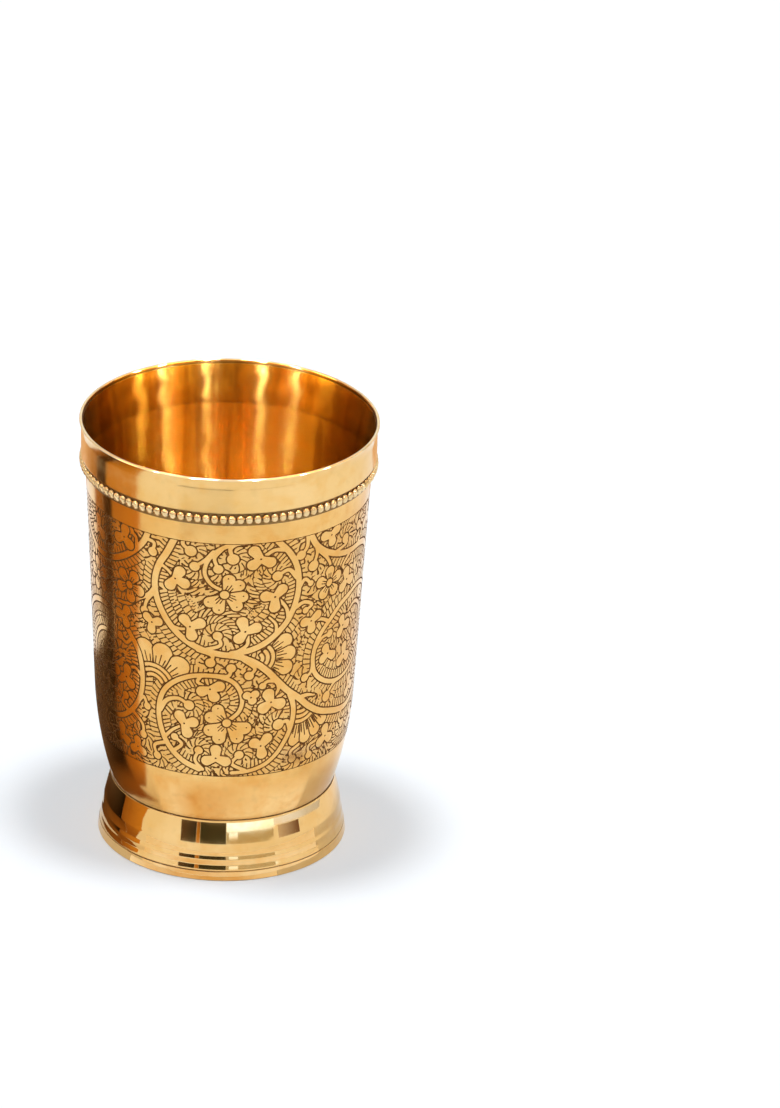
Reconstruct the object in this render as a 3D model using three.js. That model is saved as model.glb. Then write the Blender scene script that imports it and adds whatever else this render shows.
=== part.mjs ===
// Brass tumbler: a spun cup under a heavier mouth band, a half-round beaded wire seated below the band, and a
// turned, flared foot soldered under the cup. Millimetres, +Z up, origin on the table at the axis.
import * as THREE from "three";

// Whole tumbler
const HEIGHT = 115.6;
const BRAZE_GAP = 0.1; // room for solder between any two pieces
const TURN_STEPS = 64; // facets round every turned piece

// Cup: a conical wall that curves in to the waist and rounds under to a flat floor
const CUP_WALL = 1;
const CUP_FLOOR = 1.2;
const CUP_MOUTH_RADIUS = 36.45;
const CUP_TAPER = 3.05; // radius lost from the mouth to the belly
const BELLY_HEIGHT = 26; // curved part of the wall, above the waist
const BELLY_INSET = 4.55; // radius lost from the belly to the waist
const CUP_CORNER_RADIUS = 8;
const WAIST_Z = 16;

// Mouth band: carries the rounded lip, and its skirt laps over the cup's edge behind the beads
const BAND_HEIGHT = 9.5; // face of the band, up to the lip
const BAND_STEP = 0.55; // face of the band beyond its skirt
const BAND_LEDGE = 0.3; // width of the cup's edge left bare inside the band
const SKIRT_THICKNESS = 0.5;
const SKIRT_LAP = 1.6; // cup's edge above the end of the skirt
const LIP_THICKNESS = 0.8;
const LIP_FLARE = 0.5; // lip beyond the face of the band
const LIP_FLARE_HEIGHT = 2.6;

// Beaded wire: half round, its flat back on the skirt
const BEAD_COUNT = 108;
const BEAD_HEIGHT = 2.9;
const BEAD_PROUD = 0.9;
const BEAD_MARGIN = 0.3; // skirt left bare above and below the wire
const BEAD_NECK = 0.5; // section between two beads, as a share of a bead's section
const BEAD_STEPS = 4; // rings of points along one bead
const BEAD_ARC_STEPS = 4; // steps over the round face of the wire

// Foot: a slightly full flare from the table up to the seat, with a standing band, a groove and a fine line
const FOOT_SPREAD = 3.3; // foot beyond the waist, at the table
const FOOT_EDGE_WIDTH = 2.4; // flat ring that touches the table, with its rounded edge
const FOOT_EDGE_ROUND = 0.2;
const FOOT_BAND_HEIGHT = 3;
const FOOT_BAND_PROUD = 0.15; // upper edge of the standing band beyond the flare
const FOOT_GROOVE_DEPTH = 0.3;
const FOOT_GROOVE_WIDTH = 0.6;
const FOOT_LINE_Z = 6;
const FOOT_LINE_DEPTH = 0.15;
const FOOT_LINE_WIDTH = 0.3;
const FOOT_FLARE_FULLNESS = 0.15; // how far the flare swells beyond a straight cone
const FOOT_TOP_ROUND = 0.12;
const SEAT_DROP = 0.1; // top of the foot below the waist
const SEAT_WIDTH = 2.6; // length of the soldered seat along the cup's corner

// Solder run inside the foot
const SOLDER_LEG = 2;

// A point of a turned profile: r from the axis, z above the piece's own base
const at = (r, z) => new THREE.Vector2(r, z);

// Turns a profile about Z. It runs up the outside and down the inside, and closes on itself or ends on the axis.
function turned(profile) {
  const onAxis = profile[0].x === 0;
  const closed = onAxis ? profile : [...profile, profile[0].clone()];
  return new THREE.LatheGeometry(closed, TURN_STEPS).rotateX(Math.PI / 2);
}

// Points at equal steps of angle on an arc. The angle is the wall's lean: 0 upright, PI / 2 flat and facing down.
function leaningArc(centre, radius, from, to, steps) {
  return Array.from({ length: steps + 1 }, (_, i) => {
    const lean = from + ((to - from) * i) / steps;
    return at(centre.x + radius * Math.cos(lean), centre.y - radius * Math.sin(lean));
  });
}

// Heights where the pieces meet: the band sits on the cup's edge, and its skirt ends just below the beads
const skirtDrop = BEAD_HEIGHT + 2 * BEAD_MARGIN;
const skirtZ = HEIGHT - BAND_HEIGHT - skirtDrop;
const cupTopZ = skirtZ + SKIRT_LAP;
const bellyZ = WAIST_Z + BELLY_HEIGHT;

// Radii that follow from the cup's mouth
const bellyRadius = CUP_MOUTH_RADIUS - CUP_TAPER;
const waistRadius = bellyRadius - BELLY_INSET;
const footRadius = waistRadius + FOOT_SPREAD;
const skirtRadius = CUP_MOUTH_RADIUS + BRAZE_GAP + SKIRT_THICKNESS;
const bandRadius = skirtRadius + BAND_STEP;

// The cup's wall is a cone.
const wallLean = Math.atan2(CUP_TAPER, cupTopZ - bellyZ);
const cupRadiusAt = (z) => CUP_MOUTH_RADIUS - (cupTopZ - z) * Math.tan(wallLean);
const cupBoreAtTop = CUP_MOUTH_RADIUS - CUP_WALL / Math.cos(wallLean);

// The belly is an arc that leaves the cone smoothly and passes through the waist.
const waistLean = 2 * Math.atan2(BELLY_INSET, BELLY_HEIGHT) - wallLean;
const bellyArcRadius = BELLY_HEIGHT / (Math.sin(waistLean) - Math.sin(wallLean));
const bellyArcCentre = at(
  bellyRadius - bellyArcRadius * Math.cos(wallLean),
  bellyZ + bellyArcRadius * Math.sin(wallLean),
);

// The corner arc goes on from the waist until the wall lies flat.
const cornerCentre = at(
  waistRadius - CUP_CORNER_RADIUS * Math.cos(waistLean),
  WAIST_Z + CUP_CORNER_RADIUS * Math.sin(waistLean),
);
const cupBaseZ = cornerCentre.y - CUP_CORNER_RADIUS;

// The foot's seat and the solder follow the corner arc at the solder's gap.
const seatRadius = CUP_CORNER_RADIUS + BRAZE_GAP;
const seatFrom = Math.asin(Math.sin(waistLean) + SEAT_DROP / CUP_CORNER_RADIUS);
const seatTo = seatFrom + SEAT_WIDTH / CUP_CORNER_RADIUS;
const seat = leaningArc(cornerCentre, seatRadius, seatFrom, seatTo, 4);
const boreTop = seat.at(-1);
const boreFoot = at(footRadius - FOOT_EDGE_WIDTH, 0);

function cupGeometry() {
  const flat = Math.PI / 2;
  const cornerOut = leaningArc(cornerCentre, CUP_CORNER_RADIUS, flat, waistLean, 7);
  const bellyOut = leaningArc(bellyArcCentre, bellyArcRadius, waistLean, wallLean, 6).slice(1);
  const bellyIn = leaningArc(bellyArcCentre, bellyArcRadius - CUP_WALL, wallLean, waistLean, 6);
  const cornerIn = leaningArc(cornerCentre, CUP_CORNER_RADIUS - CUP_WALL, waistLean, flat, 6).slice(1);
  const floorZ = cupBaseZ + CUP_FLOOR;
  return turned([
    at(0, cupBaseZ),
    ...cornerOut,
    ...bellyOut,
    at(CUP_MOUTH_RADIUS, cupTopZ),
    at(cupBoreAtTop, cupTopZ),
    ...bellyIn,
    ...cornerIn.filter((p) => p.y > floorZ),
    at(cornerCentre.x, floorZ),
    at(0, floorZ),
  ]);
}

// Measured from the end of the skirt
function bandGeometry() {
  const top = skirtDrop + BAND_HEIGHT;
  const lipRound = LIP_THICKNESS / 2;
  const lipRadius = bandRadius + LIP_FLARE;
  const lipCentre = at(lipRadius - lipRound, top - lipRound);
  const shoulderZ = SKIRT_LAP + BRAZE_GAP;
  const skirtBore = (z) => cupRadiusAt(skirtZ + z) + BRAZE_GAP;
  const flare = new THREE.QuadraticBezierCurve(
    at(bandRadius, top - LIP_FLARE_HEIGHT),
    at(bandRadius, top - LIP_FLARE_HEIGHT / 2),
    at(lipRadius, lipCentre.y),
  );
  return turned([
    at(skirtBore(0), 0),
    at(skirtRadius, 0),
    at(skirtRadius, skirtDrop),
    at(bandRadius, skirtDrop),
    ...flare.getPoints(3),
    ...leaningArc(lipCentre, lipRound, 0, -Math.PI, 6).slice(1),
    at(cupBoreAtTop + BAND_LEDGE, shoulderZ),
    at(skirtBore(shoulderZ), shoulderZ),
  ]);
}

// Measured from the wire's middle height
function beadedWireGeometry() {
  const backRadius = skirtRadius + BRAZE_GAP;
  const around = BEAD_COUNT * BEAD_STEPS;
  const section = BEAD_ARC_STEPS + 1;
  const positions = [];
  const triangles = [];
  for (let i = 0; i < around; i++) {
    const turn = (2 * Math.PI * i) / around;
    const alongBead = (i % BEAD_STEPS) / BEAD_STEPS;
    const swell = BEAD_NECK + (1 - BEAD_NECK) * Math.sqrt(Math.sin(Math.PI * alongBead));
    for (let k = 0; k < section; k++) {
      const over = (Math.PI * k) / BEAD_ARC_STEPS;
      const radius = backRadius + BEAD_PROUD * swell * Math.sin(over);
      const z = -0.5 * BEAD_HEIGHT * swell * Math.cos(over);
      positions.push(radius * Math.cos(turn), radius * Math.sin(turn), z);
    }
  }
  for (let i = 0; i < around; i++) {
    for (let k = 0; k < section; k++) {
      const here = i * section + k;
      const up = i * section + ((k + 1) % section);
      const next = ((i + 1) % around) * section + k;
      const nextUp = ((i + 1) % around) * section + ((k + 1) % section);
      triangles.push(here, next, nextUp, here, nextUp, up);
    }
  }
  const geometry = new THREE.BufferGeometry();
  geometry.setAttribute("position", new THREE.Float32BufferAttribute(positions, 3));
  geometry.setIndex(triangles);
  geometry.computeVertexNormals();
  return geometry;
}

function footGeometry() {
  const flareTop = at(seat[0].x + FOOT_TOP_ROUND, seat[0].y - FOOT_TOP_ROUND);
  const onFlare = (z, inward = 0) => {
    const rise = z / flareTop.y;
    const cone = footRadius + (flareTop.x - footRadius) * rise;
    return at(cone + 4 * FOOT_FLARE_FULLNESS * rise * (1 - rise) - inward, z);
  };
  const grooveTop = FOOT_BAND_HEIGHT + FOOT_GROOVE_WIDTH;
  const lineTop = FOOT_LINE_Z + FOOT_LINE_WIDTH / 2;
  const flare = Array.from({ length: 7 }, (_, i) => onFlare(lineTop + ((flareTop.y - lineTop) * i) / 6));
  return turned([
    boreFoot,
    at(footRadius - FOOT_EDGE_ROUND, 0),
    onFlare(FOOT_EDGE_ROUND),
    onFlare(FOOT_BAND_HEIGHT, -FOOT_BAND_PROUD),
    onFlare(FOOT_BAND_HEIGHT + FOOT_GROOVE_WIDTH / 2, FOOT_GROOVE_DEPTH),
    onFlare(grooveTop),
    onFlare(FOOT_LINE_Z - FOOT_LINE_WIDTH / 2),
    onFlare(FOOT_LINE_Z, FOOT_LINE_DEPTH),
    ...flare,
    ...seat,
  ]);
}

// Fillet in the corner between the cup's underside and the foot's bore
function solderGeometry() {
  const startLean = seatTo + (1.5 * BRAZE_GAP) / CUP_CORNER_RADIUS;
  const endLean = startLean + SOLDER_LEG / CUP_CORNER_RADIUS;
  const alongCup = leaningArc(cornerCentre, seatRadius, startLean, endLean, 3);
  const corner = alongCup[0];
  const onCup = alongCup.at(-1);
  const downBore = boreFoot.clone().sub(boreTop).normalize();
  const onFoot = corner.clone().addScaledVector(downBore, SOLDER_LEG);
  const pulledIn = onCup.clone().add(onFoot).multiplyScalar(0.5).lerp(corner, 0.5);
  const face = new THREE.QuadraticBezierCurve(onCup, pulledIn, onFoot).getPoints(4);
  return turned([...face, ...alongCup.slice(0, -1)]);
}

const metal = (color, roughness) => new THREE.MeshStandardMaterial({ color, roughness, metalness: 1 });
const engravedBrass = metal(0xd8a657, 0.32);
const polishedBrass = metal(0xdfae5c, 0.14);
const beadBrass = metal(0xb98a4a, 0.3);
const solderGrey = metal(0x9a9385, 0.45);

function piece(name, geometry, material, z = 0) {
  const mesh = new THREE.Mesh(geometry, material);
  mesh.name = name;
  mesh.position.z = z;
  return mesh;
}

const mouth = new THREE.Group();
mouth.position.z = skirtZ;
mouth.add(piece("mouth_band", bandGeometry(), polishedBrass));
mouth.add(piece("beaded_wire", beadedWireGeometry(), beadBrass, skirtDrop / 2));

const foot = new THREE.Group();
foot.add(piece("foot_ring", footGeometry(), polishedBrass));
foot.add(piece("foot_solder", solderGeometry(), solderGrey));

const tumbler = new THREE.Group();
tumbler.add(piece("cup_body", cupGeometry(), engravedBrass), mouth, foot);

export default tumbler;
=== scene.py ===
# Brass tumbler: an engraved cup, a plain mouth band with a beaded wire below it, and a flared, turned foot.
# Shapes are worked out in millimetres in the CAD frame and written to the meshes in metres.
import math

import bpy
import numpy as np
from mathutils import Matrix, Vector


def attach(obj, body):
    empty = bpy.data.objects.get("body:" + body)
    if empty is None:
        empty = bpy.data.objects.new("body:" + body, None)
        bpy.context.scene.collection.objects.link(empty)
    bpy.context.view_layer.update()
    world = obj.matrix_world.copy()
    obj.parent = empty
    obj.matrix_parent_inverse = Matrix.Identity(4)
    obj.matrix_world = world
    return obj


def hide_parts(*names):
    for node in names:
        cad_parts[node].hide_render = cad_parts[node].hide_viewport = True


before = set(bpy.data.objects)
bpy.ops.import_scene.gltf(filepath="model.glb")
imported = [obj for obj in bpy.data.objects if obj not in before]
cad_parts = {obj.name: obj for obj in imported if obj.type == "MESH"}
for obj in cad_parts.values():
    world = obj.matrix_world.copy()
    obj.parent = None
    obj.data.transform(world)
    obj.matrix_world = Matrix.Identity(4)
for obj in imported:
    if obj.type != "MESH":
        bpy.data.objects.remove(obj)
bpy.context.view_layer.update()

MM = 0.001
FLAT = math.pi / 2
TURN_STEPS = 192  # facets round a turned piece
ON_AXIS = 1e-6  # a smaller radius counts as none
SOLDER_GAP = 0.1  # room between two soldered pieces

# Cup
CUP_WALL = 1.0
CUP_FLOOR = 1.2
MOUTH_RADIUS = 36.45
CUP_TOP = 104.2
BELLY_RADIUS, BELLY_TOP = 33.4, 42.0
WAIST_RADIUS, WAIST_Z = 28.85, 16.0
CORNER_RADIUS = 8.0

# Engraved field, drawn flat: x runs round the wall from the front and z up it
FLAT_RADIUS = 34.0
PERIOD = math.pi * FLAT_RADIUS  # the ornament repeats twice round the wall
FIELD_LOW, FIELD_HIGH = 30.0, 97.2
FIELD_STEP, CURVE_STEP = 0.22, 0.4
OUTLINE, FIELD_LINE = 0.4, 0.4  # widths of the cut round a motif and of the lines that bound the field
STEM_SLIM, CURL_TIP = 0.82, 0.8  # stems as a share of the widths listed, and a tendril's width at its end
DASH, FAN_DASH, FAN_ARC = 0.3, 0.34, 0.9  # widths of the cuts on petals and of a palmette's arcs
HATCH_ROW, HATCH_PITCH, HATCH_LINE, ROW_LINE, HATCH_SLANT = 2.2, 1.2, 0.36, 0.25, 0.25
HATCHED = 0.65  # stems with at least this half width lead the hatching
CROWD_JUMP, CROWD_BLUR, CROWD_LEAST = 6, 1.2, 0.3  # how the hatching's crowding is evened out
REACH, HATCH_REACH = 5.0, 20.0  # how far from a stroke its outline and its hatching are worked out
UNCUT, FAR_OFF = 9.0, 99.0  # stand for a place with no cut and with no stem near it
CUT_DEPTH, CUT_SLOPE, CUT_SHARP = 0.16, 0.9, 70  # depth, slope from the edge, degrees of a sharp edge
SNAP = 1e-4  # a grid point this close to a cut's edge lies outside it
GROUND_STAIN = 0.08  # share of old polish left on the hatched ground

# Mouth band and beaded wire
BAND_RADIUS, LIP_RADIUS, LIP_Z, LIP_ROUND = 37.6, 38.1, 115.6, 0.4
SKIRT_RADIUS, SKIRT_Z, SHOULDER_Z = 37.05, 102.6, 106.1
LIP_FLARE_Z, LIP_BEND_Z = 112.4, 113.7  # where the band starts to flare to the lip, and the flare's bend
SEAT_Z = 0.5 * (SKIRT_Z + SHOULDER_Z)  # the beaded wire's middle
SEAT_RADIUS = 36.9  # the band's painted shade stops inside this
LEDGE_STEP = 0.12  # the band's inside stands back from the lining
BEAD_COUNT, BEAD_HEIGHT, BEAD_PROUD, BEAD_BACK = 108, 2.45, 0.9, 37.15
BEAD_NECK, BEAD_FILL = 0.34, 0.9  # the wire between two beads against a bead, and a bead's share of the pitch
BEAD_RINGS, BEAD_ARC, BEAD_SHARP = 16, 14, 75  # steps along a bead and over it, degrees of a sharp edge

# Foot
FOOT_EDGE, FOOT_BORE = 32.15, 29.75
SEAT_LENGTH, FLARE_BREAK = 2.6, 0.12  # how far the foot laps under the cup, and its broken upper edge
FLARE_SLOPE, FLARE_BEND, SHALLOW = 0.241, 0.045, 0.115  # radius gained for each millimetre down the foot
FACETS = [(9.3, FLARE_SLOPE), (6.6, SHALLOW), (5.5, 0.259), (4.2, SHALLOW), (2.7, 0.267)]  # down to a height


def curve(points):
    """A smooth line through points."""
    p = np.array(points, float)
    if len(p) == 2:
        return p
    ends = np.vstack([2 * p[0] - p[1], p, 2 * p[-1] - p[-2]])
    out = []
    for a, b, c, d in zip(ends, ends[1:], ends[2:], ends[3:]):
        n = max(2, int(np.hypot(*(c - b)) / CURVE_STEP))
        t = np.linspace(0, 1, n, endpoint=False)[:, None]
        square, cube = 2 * a - 5 * b + 4 * c - d, 3 * b - a - 3 * c + d
        out.append(0.5 * (2 * b + (c - a) * t + square * t**2 + cube * t**3))
    return np.vstack([*out, p[-1:]])


def stroke(points, width, tip=None):
    """A round-ended stroke along a curve, its width running from width to tip."""
    line = curve(points)
    run = np.concatenate([[0], np.cumsum(np.hypot(*np.diff(line, axis=0).T))])
    half = np.interp(run, [0, run[-1]], [width / 2, (width if tip is None else tip) / 2])
    return line, run, half


def disc(x, z, radius):
    return stroke([(x, z), (x + 1e-3, z)], 2 * radius)


def measure(strokes, x, z):
    """Signed distance to the strokes, and the place along the nearest edge."""
    best, along = np.full(x.shape, np.inf), np.zeros(x.shape)
    for line, run, half in strokes:
        for i in range(len(line) - 1):
            a, e = line[i], line[i + 1] - line[i]
            t = np.clip(((x - a[0]) * e[0] + (z - a[1]) * e[1]) / (e @ e), 0, 1)
            dx, dz = x - a[0] - t * e[0], z - a[1] - t * e[1]
            wide = half[i] + (half[i + 1] - half[i]) * t
            d = np.hypot(dx, dz) - wide
            closer = d < best
            place = run[i] + t * (run[i + 1] - run[i])
            end = (t == 0) & (i == 0) | (t == 1) & (i == len(line) - 2)
            turn = np.arctan2(dz, dx) * wide
            along = np.where(closer, np.where(end, turn, place), along)
            best = np.where(closer, d, best)
    return best, along


def blur(field, reach):
    """The mean of a field over a square of 2 reach + 1 cells, taken along each axis in turn."""
    for axis in (0, 1):
        wide = np.pad(field, [(reach + 1, reach) if i == axis else (0, 0) for i in (0, 1)], mode="edge")
        total = np.cumsum(wide, axis=axis)
        size = field.shape[axis]
        first, last = (np.take(total, np.arange(size) + k, axis=axis) for k in (0, 2 * reach + 1))
        field = (last - first) / (2 * reach + 1)
    return field


def polar(x, z, angle, length):
    return x + length * math.cos(math.radians(angle)), z + length * math.sin(math.radians(angle))


def pairs(numbers):
    return list(zip(numbers[::2], numbers[1::2]))


def stem(width, tip, *path):
    return stroke(pairs(path), STEM_SLIM * width, STEM_SLIM * tip)


def curl(width, bulb, *path):
    """A tendril with a round end."""
    points = pairs(path)
    return [stroke(points, width, CURL_TIP), disc(*points[-1], bulb)]


# Flowers and palmettes are lists of motifs. A motif is its strokes, which join into one raised shape, and the
# cuts on it.


def hearts(x, z, *petals):
    """A flower with heart-shaped petals, each an angle and a length about the middle."""
    heart = 1.1
    out = []
    for angle, length in pairs(petals):
        base = polar(x, z, angle, heart)
        body = [stroke([base, polar(x, z, angle + s * 19, length)], 1.8, 0.7 * length) for s in (-1, 1)]
        dots = [disc(*polar(x, z, angle + s * 22, length * 1.08), 0.22) for s in (-1, 1)]
        dashes = [
            stroke([polar(x, z, angle + a, heart + 0.5), polar(x, z, angle + 0.7 * a, heart + reach)], DASH)
            for a, reach in ((-22, 1.6), (0, 2.1), (22, 1.6))
        ]
        out.append((body, dots + dashes))
    return out + [([disc(x, z, heart)], [])]


def trefoil(x, z, size, *lobes):
    """A small blossom of round lobes, each an angle and a length about the middle, which is pricked."""
    body = [stroke([(x, z), polar(x, z, a, r)], 1.7, 2 * size) for a, r in pairs(lobes)]
    return [(body, [disc(x, z, 0.28)])]


def rosette(x, z, petals, length, turn, heart=1.0, size=1.5):
    """A flower with round petals round a ringed middle."""
    out = []
    for i in range(petals):
        a = turn + 360 * i / petals
        body = [stroke([polar(x, z, a, heart), polar(x, z, a, length)], 1.3, 2 * size)]
        dashes = [
            stroke([polar(x, z, a + s, heart + 0.5), polar(x, z, a + s * 0.6, heart + 1.7)], DASH)
            for s in (-12, 12)
        ]
        out.append((body, dashes))
    return out + [([disc(x, z, heart)], [])]


def palmette(x, z, inner, outer, start, stop, count):
    """Petals that spread from a set of arcs."""
    out = []
    step = (stop - start) / count
    half = math.radians(abs(step)) / 2 * 0.82
    tip = outer * (1 - half)
    for i in range(count):
        a = start + (i + 0.5) * step
        body = [stroke([polar(x, z, a, inner), polar(x, z, a, tip)], 2 * inner * half, 2 * outer * half)]
        dashes = []
        for s, r in ((-0.3, 0.6), (0, 0.85), (0.3, 0.6)):
            ends = [polar(x, z, a + s * step, reach) for reach in (inner + 0.4, inner + (tip - inner) * r)]
            dashes.append(stroke(ends, FAN_DASH))
        out.append((body, dashes))
    for r in (inner - 0.7, inner - 2.1, inner - 3.5):
        if r > FAN_ARC:
            out.append(([stroke([polar(x, z, a, r) for a in np.linspace(start, stop, 9)], FAN_ARC)], []))
    return out


def motifs(make, rows):
    return [motif for row in rows for motif in make(*row)]


# One repeat of the ornament. Stems: width at the start and the end, then x and z along the path.
STEMS = [
    # the long stem, from the upper scroll to the right
    (2.0, 2.0, -12.2, 98.5, -14.6, 93.2, -16.8, 89.2, -18.0, 85.0, -17.9, 81.0, -16.6, 76.9, -14.0, 72.7,
     -10.4, 69.3, -6.0, 66.9, -1.4, 65.8, 3.0, 65.2, 7.2, 63.4, 10.8, 60.4, 13.6, 57.2),
    (2.0, 2.0, 13.6, 57.2, 16.6, 53.9, 20.2, 50.8, 23.4, 47.7, 27.2, 45.1, 31.6, 43.4, 36.4, 42.0,
     41.0, 41.6, 46.0, 43.2, 50.0, 46.6, 53.6, 49.8),
    # upper scroll
    (1.9, 1.8, 1.6, 66.0, 6.0, 66.8, 9.6, 68.3, 12.9, 70.8, 15.6, 73.9, 17.4, 77.8, 18.3, 82.0, 18.2, 86.4,
     17.2, 90.2, 15.2, 93.8, 12.6, 96.8, 11.0, 98.6),
    (1.0, 1.5, -0.9, 84.0, -3.6, 85.6, -5.2, 88.4, -4.8, 91.6, -2.8, 94.6, 0.6, 96.8, 4.4, 97.6),
    (1.3, 1.1, 14.6, 94.4, 11.6, 94.8, 9.4, 93.6),
    (1.2, 0.9, 15.9, 74.6, 15.2, 77.8, 13.2, 80.6),
    (1.2, 0.9, 3.0, 66.5, 5.4, 68.4, 5.6, 71.0),
    (1.1, 0.6, 12.8, 70.9, 12.6, 73.6, 10.8, 75.8),
    (1.0, 0.8, -13.6, 72.4, -11.0, 72.0, -9.0, 72.6),
    (1.1, 0.8, -16.6, 89.4, -14.6, 88.2, -13.0, 86.4),
    # lower scroll
    (1.8, 1.2, 17.3, 53.0, 18.6, 49.0, 18.6, 45.0, 17.7, 41.6, 16.2, 38.6, 14.2, 35.6, 11.0, 33.0,
     6.8, 31.6, 2.4, 31.2),
    (1.2, 1.9, 1.6, 47.0, 3.8, 49.2, 4.6, 52.0, 4.0, 55.2, 2.2, 57.8, -0.8, 59.2, -4.6, 59.5, -8.6, 58.8,
     -12.4, 56.9, -15.4, 54.0, -17.0, 50.4, -17.4, 46.4, -16.8, 42.6, -15.4, 39.0, -13.2, 36.0, -10.2, 33.6,
     -6.4, 32.0),
    (1.1, 0.9, -6.2, 58.8, -6.8, 57.4, -4.6, 56.2),
    (1.2, 0.9, 13.4, 57.4, 14.1, 54.8, 12.6, 52.4),
    (1.1, 0.8, -15.8, 40.0, -13.4, 42.6, -10.6, 44.4),
    # right of the middle, above
    (1.9, 1.9, 20.6, 98.4, 22.8, 94.0, 25.6, 91.3, 29.2, 89.3, 33.0, 88.0, 37.2, 87.4, 41.6, 87.2,
     46.0, 85.6, 49.6, 82.2, 52.0, 78.0, 54.6, 74.0, 58.0, 70.6),
    (1.2, 0.9, 24.2, 91.6, 26.8, 88.8, 28.2, 86.0, 28.2, 83.0),
    # right of the middle, below
    (1.8, 1.1, 37.4, 74.6, 33.4, 73.4, 29.8, 70.8, 26.6, 68.0, 24.6, 64.6, 24.0, 60.6, 24.8, 57.0,
     27.2, 54.2, 30.8, 52.2, 35.0, 51.4, 39.4, 52.0, 43.4, 54.0, 46.2, 57.4, 47.4, 61.6, 46.8, 66.0,
     44.4, 69.2, 41.0, 70.8, 37.6, 69.8),
    (1.6, 0.8, 37.4, 74.6, 41.8, 75.4, 46.6, 74.2, 50.6, 71.2, 53.6, 67.4),
    (1.8, 0.5, 20.2, 50.8, 22.6, 51.0, 25.4, 50.2),
    (1.2, 0.9, 28.8, 70.2, 26.4, 71.6, 23.4, 72.2),
    # left of the middle, above
    (1.9, 1.9, -19.4, 98.6, -21.0, 94.6, -24.0, 91.0, -27.8, 88.0, -32.0, 85.9, -36.6, 85.0, -41.2, 85.8,
     -45.0, 88.4, -47.6, 92.6, -48.8, 98.4),
    (1.6, 0.9, -17.8, 82.6, -19.8, 79.8, -22.8, 77.8, -26.4, 75.0, -30.2, 74.4),
    # left of the middle, below
    (1.8, 1.2, -24.8, 64.8, -23.2, 61.8, -22.4, 58.0, -22.3, 54.0, -22.9, 50.4, -24.4, 47.0, -26.8, 44.0,
     -30.2, 41.6, -34.4, 40.6, -38.6, 41.6, -42.0, 44.4, -44.2, 48.4, -44.8, 53.0, -43.8, 57.6, -41.0, 61.6,
     -37.0, 63.6, -33.0, 62.6),
    (1.7, 1.7, -24.8, 64.8, -28.0, 68.4, -32.4, 70.6, -37.6, 71.0, -42.8, 69.6, -47.2, 66.4, -50.4, 62.2,
     -53.6, 57.2, -57.0, 52.6),
    (1.1, 0.9, -22.6, 55.6, -24.6, 57.2, -26.6, 56.6),
]
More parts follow.
